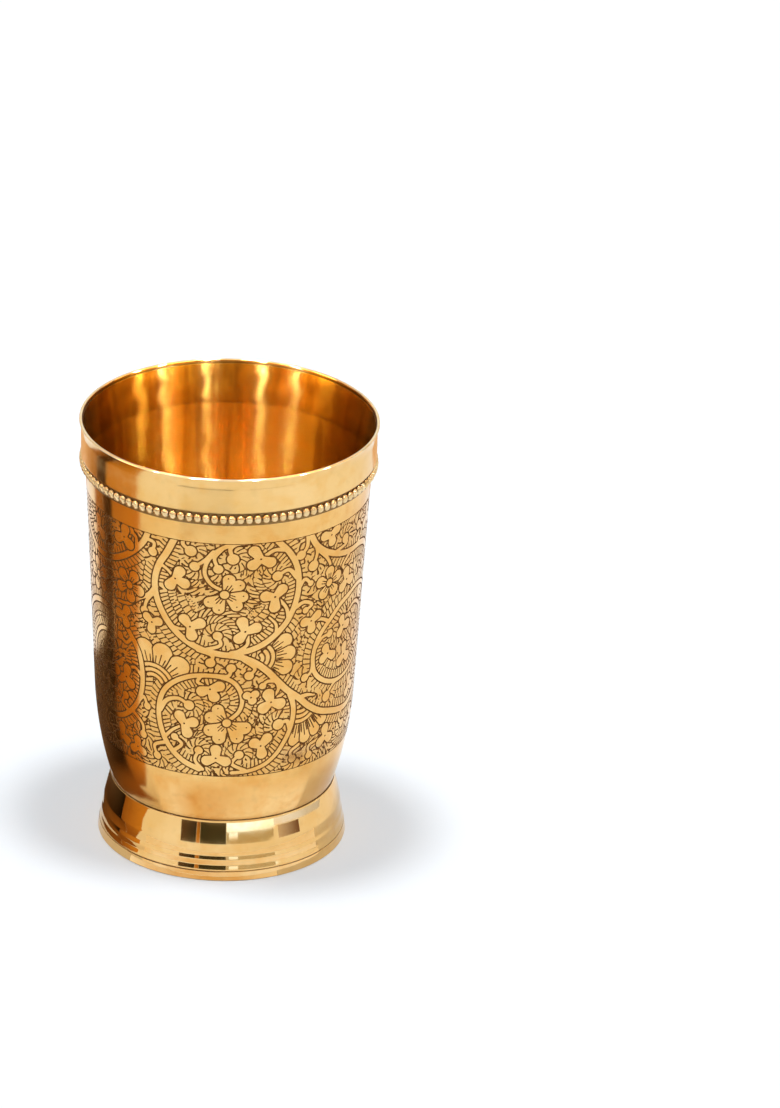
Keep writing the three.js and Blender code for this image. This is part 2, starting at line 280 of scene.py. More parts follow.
# Tendrils: width, radius of the round end, then x and z along the path
CURLS = [
    # upper scroll
    (1.1, 1.45, -10.2, 98.5, -10.6, 96.2, -8.7, 94.5),
    (1.0, 1.25, -3.2, 94.8, -5.2, 92.3, -7.7, 90.3),
    (1.2, 1.45, 2.6, 97.6, 0.8, 95.8, 1.5, 92.9),
    (0.9, 1.2, -1.2, 95.6, -2.9, 93.0, -2.0, 90.0),
    (1.2, 1.3, 17.7, 86.0, 15.4, 88.6, 12.5, 87.3),
    (1.0, 1.2, -4.6, 67.0, -1.2, 68.4, -1.9, 71.0),
    # lower scroll
    (1.0, 1.25, -6.8, 66.6, -3.2, 65.3, -3.6, 63.2),
    (1.0, 1.2, 4.6, 64.2, 7.6, 61.5, 6.2, 59.5),
    (1.0, 1.2, -2.2, 59.6, 1.0, 59.6, 1.6, 61.8),
    (1.3, 1.35, -17.0, 47.6, -15.0, 50.8, -11.8, 51.9, -9.0, 50.4),
    (1.3, 1.5, 17.9, 42.6, 16.9, 44.9, 14.5, 44.4),
    (1.0, 1.2, 6.0, 31.8, 2.4, 34.0, 4.2, 36.6),
    (1.0, 1.0, -13.3, 36.4, -11.0, 38.8, -12.9, 40.6),
    (0.9, 0.9, 13.2, 57.2, 11.0, 57.4, 9.8, 56.2),
    (0.9, 1.1, -5.4, 32.0, -7.4, 34.6, -6.4, 37.6),
    # right of the middle, above
    (1.1, 1.25, 20.3, 97.6, 20.2, 94.0, 18.6, 92.0),
    (1.0, 1.45, 22.4, 95.0, 23.3, 91.6, 22.4, 88.0),
    (1.1, 0.9, 17.6, 77.2, 20.2, 78.3, 22.6, 77.0, 20.8, 75.8),
    (1.0, 0.8, 18.3, 82.2, 20.0, 84.8, 21.9, 83.2),
    (1.0, 1.25, 36.6, 87.4, 33.2, 84.6, 34.6, 82.6),
    (1.0, 1.3, 29.0, 89.4, 34.0, 90.4, 33.4, 92.0),
    (1.0, 1.3, 40.0, 87.2, 42.4, 91.0, 40.0, 93.0),
    (1.0, 1.25, 48.6, 83.2, 45.0, 82.0, 46.2, 79.4),
    # right of the middle, below
    (1.1, 1.1, 24.0, 61.0, 23.6, 57.4, 21.7, 56.2),
    (1.0, 1.45, 33.6, 51.4, 31.6, 50.2, 29.9, 48.2),
    (1.0, 1.1, 24.2, 63.2, 26.6, 66.0, 29.6, 66.4),
    (1.0, 1.2, 46.6, 58.0, 42.6, 58.4, 41.6, 61.6),
    (1.0, 1.2, 46.6, 56.8, 49.6, 53.8, 52.2, 55.2),
    (1.0, 1.2, 38.2, 41.6, 37.0, 38.8, 39.2, 36.8),
    (0.9, 1.1, 21.0, 37.0, 18.6, 35.4, 19.4, 33.2),
    (0.9, 1.1, 28.2, 36.6, 24.6, 35.6, 25.0, 32.8),
    # left of the middle, above
    (1.0, 1.1, -18.6, 80.6, -20.6, 77.6, -21.3, 74.8),
    (1.0, 1.2, -20.6, 95.4, -18.2, 94.8, -18.6, 92.2),
    (1.0, 1.25, -34.0, 85.4, -34.8, 88.6, -32.8, 90.6),
    (1.0, 1.25, -41.5, 85.9, -41.0, 82.6, -43.4, 81.0),
    (0.9, 0.9, -23.4, 91.6, -23.4, 94.6, -25.0, 96.0),
    # left of the middle, below
    (1.0, 1.0, -23.8, 48.0, -22.0, 49.8, -20.9, 47.4),
    (1.0, 1.1, -27.0, 43.8, -29.8, 45.6, -28.4, 48.0),
    (1.0, 1.2, -44.4, 50.6, -40.8, 51.6, -39.8, 48.4),
    (1.0, 1.1, -26.0, 44.6, -22.6, 41.8, -22.4, 38.8),
    (1.0, 1.2, -36.4, 41.0, -38.0, 37.6, -36.2, 35.2),
    (1.0, 1.1, -15.2, 38.6, -18.8, 36.8, -18.2, 33.8),
    (1.0, 1.1, -25.4, 65.6, -27.6, 63.4, -30.0, 64.6),
]
# Palmettes: x, z, inner and outer radius, the angles where it starts and stops, petals
PALMETTES = [
    (-19.0, 54.2, 6.4, 12.8, 120, 28, 3),
    (8.0, 64.2, 5.0, 10.4, 44, -38, 3),
    (21.0, 49.2, 6.0, 12.2, -108, -32, 4),
    (51.5, 66.5, 5.2, 11.0, 150, 60, 3),
    (-48.0, 37.5, 4.4, 10.0, 130, 40, 3),
]
# Flowers: x and z, then an angle and a length for each petal
HEARTS = [
    (-0.4, 82.8, 57, 4.3, -27, 4.3, -128, 4.2),
    (0.8, 46.0, 141, 4.4, -133, 4.8, -38, 4.9),
]
# Blossoms: x, z and size, then an angle and a length for each lobe
TREFOILS = [
    (8.2, 92.6, 1.45, 125, 2.9, 218, 2.4, -25, 2.6),
    (12.1, 81.4, 1.45, 168, 2.4, 48, 2.6, -90, 2.9),
    (4.9, 72.2, 1.45, 106, 2.9, -128, 2.4, 20, 2.8),
    (-8.8, 73.0, 1.45, 128, 2.4, 26, 2.8, -80, 2.5),
    (-12.6, 86.0, 1.45, 62, 2.5, -22, 2.5, -124, 2.4),
    (-3.6, 55.6, 1.45, 200, 2.2, 22, 2.5, -64, 2.4),
    (12.2, 51.2, 1.6, 108, 2.5, -144, 2.4, -18, 2.6),
    (6.9, 53.2, 1.1, 150, 1.2, 40, 1.3, -70, 1.0),
    (-10.3, 44.9, 1.45, 120, 2.4, 16, 2.5, -72, 2.7),
    (-1.9, 35.6, 1.45, 90, 2.5, -160, 2.5, -20, 2.7),
    (9.9, 38.8, 1.45, 150, 2.0, 52, 2.6, -80, 2.4),
    (22.7, 72.2, 1.3, 176, 2.0, 32, 2.3, -84, 2.2),
    (27.8, 95.0, 1.3, 172, 2.3, 30, 2.1, -80, 2.0),
    (29.3, 60.8, 1.3, 120, 2.0, -30, 2.4, -150, 2.0),
    (35.2, 66.6, 1.3, 110, 2.1, -10, 2.3, -130, 2.1),
    (36.8, 57.6, 1.4, 90, 2.3, -150, 2.3, -30, 2.3),
    (-19.1, 72.0, 1.2, 140, 1.9, 20, 2.0, -95, 2.0),
    (-27.4, 93.4, 1.45, 80, 2.3, 200, 2.3, -40, 2.3),
    (-28.2, 71.0, 1.3, 60, 2.0, 180, 2.1, -70, 2.1),
    (-28.0, 53.4, 1.4, 80, 2.4, -40, 2.2, 200, 2.4),
    (30.8, 36.4, 1.45, 100, 2.3, -150, 2.3, -30, 2.3),
    (46.0, 36.4, 1.45, 110, 2.3, -140, 2.3, -20, 2.3),
    (-30.4, 35.8, 1.45, 90, 2.3, -150, 2.3, -30, 2.3),
    (46.6, 92.6, 1.45, 90, 2.4, 210, 2.4, -30, 2.4),
    (-38.6, 91.6, 1.45, 90, 2.4, 210, 2.4, -30, 2.4),
    (-51.2, 74.6, 1.45, 80, 2.4, 200, 2.4, -40, 2.4),
    (-51.0, 87.0, 1.3, 80, 2.2, 200, 2.2, -40, 2.2),
    (35.4, 79.6, 1.45, 100, 2.3, 220, 2.3, -20, 2.3),
    (42.0, 46.6, 1.3, 100, 2.1, 220, 2.1, -20, 2.1),
    (-24.6, 34.4, 1.2, 90, 2.0, 210, 2.0, -30, 2.0),
]
# Round flowers: x, z, petals, length and turn, and sizes of the middle and a petal if not the usual
ROSETTES = [
    (28.1, 81.4, 5, 3.1, 18),
    (-26.0, 80.4, 5, 3.3, 60),
    (-35.6, 53.4, 5, 3.6, 10, 1.1, 1.6),
    (-39.6, 77.8, 5, 3.4, 30),
]

SCROLLS = [stem(*row) for row in STEMS] + motifs(curl, CURLS)
FANS = motifs(palmette, PALMETTES)
BLOSSOMS = motifs(hearts, HEARTS) + motifs(trefoil, TREFOILS) + motifs(rosette, ROSETTES)


class Engraving:
    """Signed distance to the cuts over one repeat of the wall: negative inside a cut."""

    def __init__(self, step):
        columns = round(PERIOD / step)
        rows = round((FIELD_HIGH - FIELD_LOW) / step)
        self.x = np.linspace(-PERIOD / 2, PERIOD / 2, columns + 1)
        self.z = np.linspace(FIELD_LOW, FIELD_HIGH, rows + 1)
        shape = (rows + 1, columns + 1)
        scroll = np.full(shape, UNCUT)
        near, along = np.full(shape, FAR_OFF), np.zeros(shape)
        for line in SCROLLS:
            for part, points in self.windows([line], REACH):
                scroll[part] = np.minimum(scroll[part], measure([line], *points)[0])
            if line[2].max() < HATCHED:
                continue
            for part, points in self.windows([line], HATCH_REACH):
                d, place = measure([line], *points)
                closer = d < near[part]
                along[part] = np.where(closer, place, along[part])
                near[part] = np.where(closer, d, near[part])
        self.cut = self.hatching(near, along, step)
        self.ground = np.ones(shape)
        self.paint_motifs(FANS)
        self.paint((slice(None), slice(None)), scroll, UNCUT)
        self.paint_motifs(BLOSSOMS)
        for edge in (FIELD_LOW, FIELD_HIGH):
            self.cut = np.minimum(self.cut, np.abs(self.z[:, None] - edge) - FIELD_LINE / 2)

    def paint_motifs(self, group):
        for strokes, cuts in group:
            for part, points in self.windows(strokes, REACH):
                self.paint(part, measure(strokes, *points)[0], measure(cuts, *points)[0] if cuts else UNCUT)

    def paint(self, part, d, cuts):
        """Lays a shape over what is there: its outline, and the cuts on it."""
        kept = np.maximum(self.cut[part], OUTLINE - d)
        outline = np.abs(d - OUTLINE / 2) - OUTLINE / 2
        self.cut[part] = np.minimum(np.minimum(kept, outline), cuts)
        self.ground[part] = np.where(d < OUTLINE, 0.0, self.ground[part])

    def windows(self, strokes, margin):
        """The part of the grid that strokes can reach, and its points, in each repeat that shows them."""
        low = np.min([s[0].min(0) - s[2].max() for s in strokes], axis=0) - margin
        high = np.max([s[0].max(0) + s[2].max() for s in strokes], axis=0) + margin
        for shift in (-PERIOD, 0.0, PERIOD):
            columns = np.searchsorted(self.x, [low[0] + shift, high[0] + shift])
            rows = np.searchsorted(self.z, [low[1], high[1]])
            if columns[0] < columns[1] and rows[0] < rows[1]:
                part = slice(*rows), slice(*columns)
                z, x = np.meshgrid(self.z[part[0]], self.x[part[1]] - shift, indexing="ij")
                yield part, (x, z)

    def hatching(self, near, along, step):
        """Rows of short cuts that follow the nearest stem, with a cut between the rows."""
        depth = (near - OUTLINE) / HATCH_ROW
        row_cut = np.abs(depth - np.round(depth)) * HATCH_ROW - ROW_LINE / 2
        row_cut = np.where(np.round(depth) < 1, UNCUT, row_cut)
        crowd = np.hypot(*np.gradient(along, step))
        # along jumps where another stem becomes the nearest, and counts as even there
        crowd = blur(np.where(crowd > CROWD_JUMP, 1.0, crowd), round(CROWD_BLUR / step))
        crowd = np.maximum(crowd, CROWD_LEAST)
        pitch = HATCH_PITCH * 2.0 ** np.round(np.log2(crowd))
        place = (along + HATCH_SLANT * (near - OUTLINE)) / pitch + 0.5 * np.floor(depth)
        across = np.abs(place - np.round(place)) * pitch / crowd - HATCH_LINE / 2
        return np.minimum(row_cut, across)


# Turned shapes


def arc(centre, radius, start, stop, steps):
    """Points on an arc in a profile. The angle is the wall's lean: 0 upright, pi / 2 flat and facing down."""
    leans = np.linspace(start, stop, steps + 1)
    return [(centre[0] + radius * math.cos(a), centre[1] - radius * math.sin(a)) for a in leans]


def bezier(a, b, c, steps):
    a, b, c = (np.array(p, float) for p in (a, b, c))
    return [tuple((1 - t) ** 2 * a + 2 * t * (1 - t) * b + t * t * c) for t in np.linspace(0, 1, steps + 1)]


def between(a, b, shares):
    return [(a[0] + (b[0] - a[0]) * t, a[1] + (b[1] - a[1]) * t) for t in shares]


def eased(points):
    """A profile with its corners rounded: a point is (r, z) or (r, z, fillet)."""
    out = []
    for i, point in enumerate(points):
        here = np.array(point[:2], float)
        if len(point) == 2:
            out.append(tuple(here))
            continue
        back = np.array(points[i - 1][:2], float) - here
        on = np.array(points[(i + 1) % len(points)][:2], float) - here
        reach = min(point[2], 0.45 * np.hypot(*back), 0.45 * np.hypot(*on))
        start, stop = (here + way / np.hypot(*way) * reach for way in (back, on))
        out += bezier(start, here, stop, 4)
    return out


WALL_LEAN = math.atan2(MOUTH_RADIUS - BELLY_RADIUS, CUP_TOP - BELLY_TOP)
WAIST_LEAN = 2 * math.atan2(BELLY_RADIUS - WAIST_RADIUS, BELLY_TOP - WAIST_Z) - WALL_LEAN
BELLY_ARC = (BELLY_TOP - WAIST_Z) / (math.sin(WAIST_LEAN) - math.sin(WALL_LEAN))
BELLY_CENTRE = (BELLY_RADIUS - BELLY_ARC * math.cos(WALL_LEAN), BELLY_TOP + BELLY_ARC * math.sin(WALL_LEAN))
CORNER_CENTRE = (
    WAIST_RADIUS - CORNER_RADIUS * math.cos(WAIST_LEAN),
    WAIST_Z + CORNER_RADIUS * math.sin(WAIST_LEAN),
)
CUP_BASE = CORNER_CENTRE[1] - CORNER_RADIUS


def wall_lean(z):
    """Lean of the cup's outside at a height above the waist."""
    return np.where(z > BELLY_TOP, WALL_LEAN, np.arcsin(np.clip((BELLY_CENTRE[1] - z) / BELLY_ARC, -1, 1)))


def wall_radius(z):
    cone = MOUTH_RADIUS - (CUP_TOP - z) * math.tan(WALL_LEAN)
    return np.where(z > BELLY_TOP, cone, BELLY_CENTRE[0] + BELLY_ARC * np.cos(wall_lean(z)))


def turned_points(r, turn, z):
    """Points at a radius, an angle from the front and a height."""
    return np.stack([r * np.sin(turn), -r * np.cos(turn), z], axis=-1)


def in_scene(name, data):
    obj = bpy.data.objects.new(name, data)
    bpy.context.scene.collection.objects.link(obj)
    return obj


def mesh_object(name, points, faces, uv=None, normals=None, sharp=40):
    """A smooth mesh from points in millimetres and a list of (n, k) face arrays. uv is one pair for each face
    corner. Edges that turn by more than sharp degrees stay sharp, unless normals are given."""
    mesh = bpy.data.meshes.new(name)
    corners = np.concatenate([f.ravel() for f in faces]).astype(np.int32)
    sizes = np.concatenate([np.full(len(f), f.shape[1]) for f in faces])
    mesh.vertices.add(len(points))
    mesh.vertices.foreach_set("co", (np.asarray(points) * MM).astype(np.float32).ravel())
    mesh.loops.add(len(corners))
    mesh.loops.foreach_set("vertex_index", corners)
    mesh.polygons.add(len(sizes))
    mesh.polygons.foreach_set("loop_start", (np.cumsum(sizes) - sizes).astype(np.int32))
    mesh.update(calc_edges=True)
    if uv is not None:
        layer = mesh.uv_layers.new(name="OFBake")
        layer.data.foreach_set("uv", np.asarray(uv, np.float32).ravel())
    mesh.shade_smooth()
    if normals is None:
        mesh.set_sharp_from_angle(angle=math.radians(sharp))
    else:
        mesh.normals_split_custom_set_from_vertices(normals.tolist())
    return in_scene(name, mesh)


def dress(obj, material, node, slot):
    """Gives a piece its material and its place in the frame."""
    obj.data.materials.append(material)
    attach(obj, "root")
    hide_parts(node)


def paint_shade_and_polish(obj, amount):
    """How dark each point of a piece is painted, from 0 to 1: painted shade at joints, grooves, edges and
    between beads, and old polish left on the hatched ground.
    """
    layer = obj.data.attributes.new("shade_and_polish", "FLOAT", "POINT")
    layer.data.foreach_set("value", amount.astype(np.float32).ravel())


def compact(faces):
    """The points that face arrays use, and the faces numbered by them."""
    used, back = np.unique(np.concatenate([f.ravel() for f in faces]), return_inverse=True)
    parts = np.split(back, np.cumsum([f.size for f in faces])[:-1])
    return used, [part.reshape(f.shape) for part, f in zip(parts, faces)]


def lathe(name, profile, closed=False, wobble=None, dark=()):
    """Turns a profile about Z. Points on the axis become one point. dark lists the lines painted darker,
    mostly painted shade at joints, grooves and edges, each a (height, reach, smallest radius, amount)."""
    profile = np.array(profile, float)
    count = len(profile)
    turn = np.arange(TURN_STEPS) * 2 * math.pi / TURN_STEPS
    r, z = np.repeat(profile.T[:, :, None], TURN_STEPS, axis=2)
    if wobble:
        r, z = wobble(r, z, turn[None, :])
    points = turned_points(r, turn, z).reshape(-1, 3)
    ring = np.arange(count * TURN_STEPS).reshape(count, TURN_STEPS)
    for i in np.flatnonzero(profile[:, 0] < ON_AXIS):
        ring[i] = ring[i, 0]
    run = np.concatenate([[0], np.cumsum(np.hypot(*np.diff(np.vstack([profile, profile[:1]]), axis=0).T))])
    k = np.arange(TURN_STEPS)
    m = (k + 1) % TURN_STEPS
    u0, u1 = k / TURN_STEPS, (k + 1) / TURN_STEPS
    quads, triangles, quad_uv, triangle_uv = [], [], [], []
    for i in range(count if closed else count - 1):
        j = (i + 1) % count
        v0, v1 = np.full(TURN_STEPS, run[i] / run[-1]), np.full(TURN_STEPS, run[i + 1] / run[-1])
        corners = [(ring[i, k], u0, v0), (ring[i, m], u1, v0), (ring[j, m], u1, v1), (ring[j, k], u0, v1)]
        if profile[i, 0] < ON_AXIS:
            corners.pop(0)
        elif profile[j, 0] < ON_AXIS:
            corners.pop()
        face = np.stack([c[0] for c in corners], axis=1)
        pair = np.stack([np.stack(c[1:], axis=1) for c in corners], axis=1)
        (quads if len(corners) == 4 else triangles).append(face)
        (quad_uv if len(corners) == 4 else triangle_uv).append(pair.reshape(-1, 2))
    used, faces = compact([np.concatenate(f) for f in (quads, triangles) if f])
    obj = mesh_object(name, points[used], faces, np.concatenate([*quad_uv, *triangle_uv]))
    if dark:
        height, out = points[used][:, 2], np.hypot(*points[used][:, :2].T)
        amounts = []
        for line_z, reach, least, amount in dark:
            amounts.append(amount * np.clip(1.5 - np.abs(height - line_z) / reach, 0, 1) * (out > least))
        paint_shade_and_polish(obj, np.max(amounts, axis=0))
    return obj


# Engraved wall


def trim(values):
    """The part of a grid where values are positive: its vertices as (row, column), their numbers in the grid,
    and its faces, quads and triangles."""
    rows, columns = values.shape
    node = np.arange(rows * columns).reshape(rows, columns)
    flat = values.ravel()
    cell = np.stack([node[:-1, :-1], node[:-1, 1:], node[1:, 1:], node[1:, :-1]], axis=-1).reshape(-1, 4)
    inside = (flat[cell] > 0).sum(1)
    quads = [cell[inside == 4]]
    mixed = cell[(inside > 0) & (inside < 4)]
    halves = np.concatenate([mixed[:, [0, 1, 2]], mixed[:, [0, 2, 3]]])
    kept = (flat[halves] > 0).sum(1)
    triangles = [halves[kept == 3]]
    place = np.stack(np.divmod(np.arange(rows * columns), columns), axis=1).astype(float)
    ends, made = [], []
    for many in (1, 2):
        some = halves[kept == many]
        odd = (flat[some] > 0) == (many == 1)
        some = np.take_along_axis(some, (odd.argmax(1)[:, None] + np.arange(3)) % 3, axis=1)
        made.append(some)
        ends += [some[:, [0, 1]], some[:, [0, 2]]]
    edges = np.sort(np.concatenate(ends), axis=1)
    keys, which = np.unique(edges[:, 0] * rows * columns + edges[:, 1], return_inverse=True)
    a, b = np.divmod(keys, rows * columns)
    t = np.clip(flat[a] / (flat[a] - flat[b]), 0.04, 0.96)[:, None]
    place = np.concatenate([place, place[a] + (place[b] - place[a]) * t])
    cross = np.split(which + rows * columns, np.cumsum([len(e) for e in ends])[:-1])
    triangles.append(np.stack([made[0][:, 0], cross[0], cross[1]], axis=1))
    quads.append(np.stack([cross[2], made[1][:, 1], made[1][:, 2], cross[3]], axis=1))
    used, faces = compact([np.concatenate(quads), np.concatenate(triangles)])
    return place[used], used, faces


def engraved_quarter(name, engraving, half, turn, cuts):
    """A quarter of the engraved wall: the flats left standing, or the cuts between them."""
    middle = (len(engraving.x) - 1) // 2
    columns = slice(0, middle + 1) if half == 0 else slice(middle, None)
    values = engraving.cut[:, columns]
    values = np.where(np.abs(values) < SNAP, SNAP, values) * (-1 if cuts else 1)
    place, used, faces = trim(values)
    x = np.interp(place[:, 1], np.arange(values.shape[1]), engraving.x[columns])
    z = np.interp(place[:, 0], np.arange(values.shape[0]), engraving.z)
    phi = x / FLAT_RADIUS + turn
    lean = wall_lean(z)
    sunk = np.zeros(len(x))
    if cuts:
        nodes = used < values.size
        sunk[nodes] = np.minimum(CUT_DEPTH, CUT_SLOPE * values.ravel()[used[nodes]])
    points = turned_points(wall_radius(z) - sunk, phi, z)
    normals = None if cuts else turned_points(np.cos(lean), phi, -np.sin(lean))
    uv = np.stack([(c - c.min()) / (c.max() - c.min()) for c in (x, z)], axis=1)
    corners = np.concatenate([f.ravel() for f in faces])
    obj = mesh_object(name, points, faces, uv[corners], normals, CUT_SHARP)
    if not cuts:
        row, column = np.rint(place).astype(int).T
        paint_shade_and_polish(obj, GROUND_STAIN * engraving.ground[:, columns][row, column])
    return obj


# Materials


class Nodes:
    """The node tree of a material or a world, built from its shader back."""

    def __init__(self, owner, shader="Principled BSDF"):
        owner.use_nodes = True
        self.owner, self.tree = owner, owner.node_tree
        self.shader = self.tree.nodes[shader]

    def add(self, kind, settings=(), **inputs):
        """A node; an input is a value or another node's output."""
        node = self.tree.nodes.new("ShaderNode" + kind)
        for key, value in dict(settings).items():
            setattr(node, key, value)
        for key, value in inputs.items():
            socket = node.inputs[int(key[1:]) if key[1:].isdigit() else key.replace("_", " ")]
            self.put(socket, value)
        return node

    def put(self, socket, value):
        if isinstance(value, bpy.types.NodeSocket):
            self.tree.links.new(value, socket)
        else:
            socket.default_value = value

    def set(self, **inputs):
        """Values or outputs for the shader's own inputs."""
        for key, value in inputs.items():
            self.put(self.shader.inputs[key.replace("_", " ")], value)
        return self.owner

    def blend(self, factor, a, b):
        """A mix of two shaders in place of the shader."""
        self.tree.nodes.remove(self.shader)
        mix = self.add("MixShader", i0=factor, i1=a.outputs[0], i2=b.outputs[0])
        self.put(self.tree.nodes["Material Output"].inputs["Surface"], mix.outputs[0])
        return self.owner

    def place(self):
        return self.add("TexCoord").outputs["Object"]

    def attribute(self, name, output):
        return self.add("Attribute", {"attribute_name": name}).outputs[output]

    def noise(self, scale, detail, stretch=None, roughness=0.5):
        """Noise over the piece, at so many features to the metre; stretch scales the axes first."""
        vector = self.place()
        if stretch:
            vector = self.add("Mapping", Vector=vector, Scale=stretch).outputs[0]
        node = self.add("TexNoise", Vector=vector, Scale=scale, Detail=detail, Roughness=roughness)
        return node.outputs["Fac"]

    def span(self, value, low, high, to_low=0.0, to_high=1.0):
        node = self.add("MapRange", i0=value, i1=low, i2=high, i3=to_low, i4=to_high)
        return node.outputs[0]

    def mix(self, factor, a, b):
        """A mix of two colours, each a tone or another node's output."""
        a, b = (c if isinstance(c, bpy.types.NodeSocket) else (*c, 1) for c in (a, b))
        return self.add("Mix", {"data_type": "RGBA"}, i0=factor, i6=a, i7=b).outputs[2]

    def math(self, operation, a, b=0.0):
        return self.add("Math", {"operation": operation}, i0=a, i1=b).outputs[0]

    def rings(self, pitch):
        """Fine turned lines: noise that changes with height and with distance from the axis, pitch in
        millimetres."""
        split = self.add("SeparateXYZ", Vector=self.place()).outputs
        squares = [self.math("MULTIPLY", split[i], split[i]) for i in (0, 1)]
        across = self.math("SQRT", self.math("ADD", *squares))
        along = self.math("ADD", split[2], self.math("MULTIPLY", across, 1.7))
        node = self.add("TexNoise", {"noise_dimensions": "1D"}, W=along, Scale=1000 / pitch, Detail=2.0)
        return node.outputs["Fac"]

    def bump(self, *layers):
        """Bump from (height, depth in millimetres) layers."""
        below = {}
        for height, depth in layers:
            node = self.add("Bump", Height=height, Distance=depth * MM, Strength=1.0, **below)
            below = {"Normal": node.outputs[0]}
        return self.set(**below)


def new_material(name):
    return Nodes(bpy.data.materials.new(name))


def scaled(tone, *shares):
    return [c * s for c, s in zip(tone, shares)]


# The dark tone mixed in for painted shade and old polish
SHADE_AND_POLISH_TONE = (0.07, 0.03, 0.009)


def brass(name, tones, polish, rings, scratch=0.0006, duller=0.0, painted_streaks=0.0):
    """Polished brass: tone drifts between two colours, with smudges, turned lines and hairline scratches, and
    it darkens where a piece is painted with shade or holds old polish. polish is the least and the most
    roughness, rings the pitch and depth of the turned lines, duller the roughness that it gains down inside a
    cup, and painted_streaks how deep the painted dark upright streaks are, which stand in for reflections
    inside a cup."""
    n = new_material(name)
    deep = tones[1]
    tone = n.mix(n.span(n.noise(70, 4), 0.32, 0.7), *tones)
    spots = n.span(n.noise(420, 2), 0.55, 0.8)
    tone = n.mix(n.math("MULTIPLY", spots, 0.18), tone, scaled(deep, 0.62, 0.62, 0.62))
    warm = n.span(n.noise(240, 3), 0.48, 0.68, 0.0, 0.45)
    tone = n.mix(warm, tone, scaled(deep, 1, 0.86, 0.6))
    if painted_streaks:
        # Painted dark upright streaks in the tone, standing in for reflections inside a cup
        painted_streak = n.span(n.noise(240, 2, (1, 1, 0.05)), 0.46, 0.62, 0.0, painted_streaks)
        tone = n.mix(painted_streak, tone, scaled(deep, 0.55, 0.36, 0.25))
        turned = n.add("Tangent", {"direction_type": "RADIAL", "axis": "Z"}).outputs[0]
        n.set(Anisotropic=1.0, Anisotropic_Rotation=0.25, Tangent=turned)
    shade_and_polish = n.attribute("shade_and_polish", "Fac")
    smudge = n.span(n.noise(150, 5, None, 0.6), 0.3, 0.75, *polish)
    rough = n.math("ADD", smudge, n.math("MULTIPLY", shade_and_polish, 0.3))
    if duller:
        height = n.add("SeparateXYZ", Vector=n.place()).outputs[2]
        rough = n.math("ADD", rough, n.span(height, 0.072, 0.102, duller, 0.0))
    n.set(Metallic=1.0, Base_Color=n.mix(shade_and_polish, tone, SHADE_AND_POLISH_TONE), Roughness=rough)
    scratches = [(n.noise(2600, 2, (1, 1, 0.12)), scratch), (n.noise(2200, 2, (0.15, 0.2, 1)), scratch)]
    return n.bump(*scratches, (n.rings(rings[0]), rings[1]))


def dull_metal(name, metallic, tones, polish, drift, grain, pits, depth):
    """Unpolished metal. drift, grain and pits are the scale and detail of the noise in its tone, its
    roughness and its surface."""
    n = new_material(name)
    tone = n.mix(n.span(n.noise(*drift), 0.35, 0.7), *tones)
    n.set(Metallic=metallic, Base_Color=tone, Roughness=n.span(n.noise(*grain), 0.3, 0.7, *polish))
    return n.bump((n.noise(*pits), depth))


def bead_brass(tones):
    n = new_material("bead_brass")
    shade_and_polish = n.attribute("shade_and_polish", "Fac")
    worn = n.mix(n.span(n.noise(300, 3), 0.35, 0.7), *tones)
    smudge = n.span(n.noise(700, 3), 0.3, 0.7, 0.14, 0.26)
    rough = n.math("ADD", smudge, n.math("MULTIPLY", shade_and_polish, 0.35))
    n.set(Metallic=1.0, Base_Color=n.mix(shade_and_polish, worn, SHADE_AND_POLISH_TONE), Roughness=rough)
    return n.bump((n.noise(2500, 2), 0.004))


GOLD = (0.91, 0.56, 0.2), (0.79, 0.41, 0.105)
PEACH = (0.89, 0.57, 0.225), (0.83, 0.5, 0.165)
LIP_HIGHLIGHT = (0.94, 0.77, 0.48), (0.88, 0.68, 0.38)
AMBER = (0.94, 0.6, 0.12), (0.88, 0.52, 0.08)
SHADED_AMBER = (0.72, 0.44, 0.085), (0.64, 0.36, 0.055)
BEAD_TONES = (0.86, 0.65, 0.35), (0.74, 0.49, 0.21)
FOOT_TONES = (0.91, 0.58, 0.235), (0.82, 0.48, 0.16)
CUT_TONES = (0.075, 0.03, 0.007), (0.17, 0.072, 0.018)
SOLDER_TONES = (0.33, 0.31, 0.26), (0.19, 0.16, 0.11)

wall_brass = brass("wall_brass", GOLD, (0.1, 0.2), (0.35, 0.0006))
band_brass = brass("band_brass", PEACH, (0.1, 0.2), (0.4, 0.0012), 0.0004)
foot_brass = brass("foot_brass", FOOT_TONES, (0.03, 0.07), (0.4, 0.0003), 0.0001)
lining_brass = brass("lining_brass", AMBER, (0.18, 0.21), (0.45, 0.003), 0.0004, duller=0.07, painted_streaks=0.5)
# The lip's brass is a paler copy of the band's: a painted highlight along the lip
highlight_lip_brass = brass("highlight_lip_brass", LIP_HIGHLIGHT, (0.05, 0.09), (0.4, 0.0003), 0.0002)
bottom_brass = brass("bottom_brass", GOLD, (0.2, 0.32), (0.5, 0.004))
# The band's inside is a darker copy of the lining's brass: painted shade
shaded_inside_brass = brass("shaded_inside_brass", SHADED_AMBER, (0.17, 0.2), (0.45, 0.003), 0.0004, painted_streaks=0.5)
cuts_brass = dull_metal("cut_brass", 1.0, CUT_TONES, (0.45, 0.7), (900, 3), (1500, 2), (3000, 3), 0.03)
solder = dull_metal("solder", 0.9, SOLDER_TONES, (0.4, 0.62), (500, 4), (900, 3), (800, 4), 0.08)

# The CAD node that pieces stand for, and their material slot
CUP, BAND = ("cup_body", "engraved_brass"), ("mouth_band", "polished_brass")

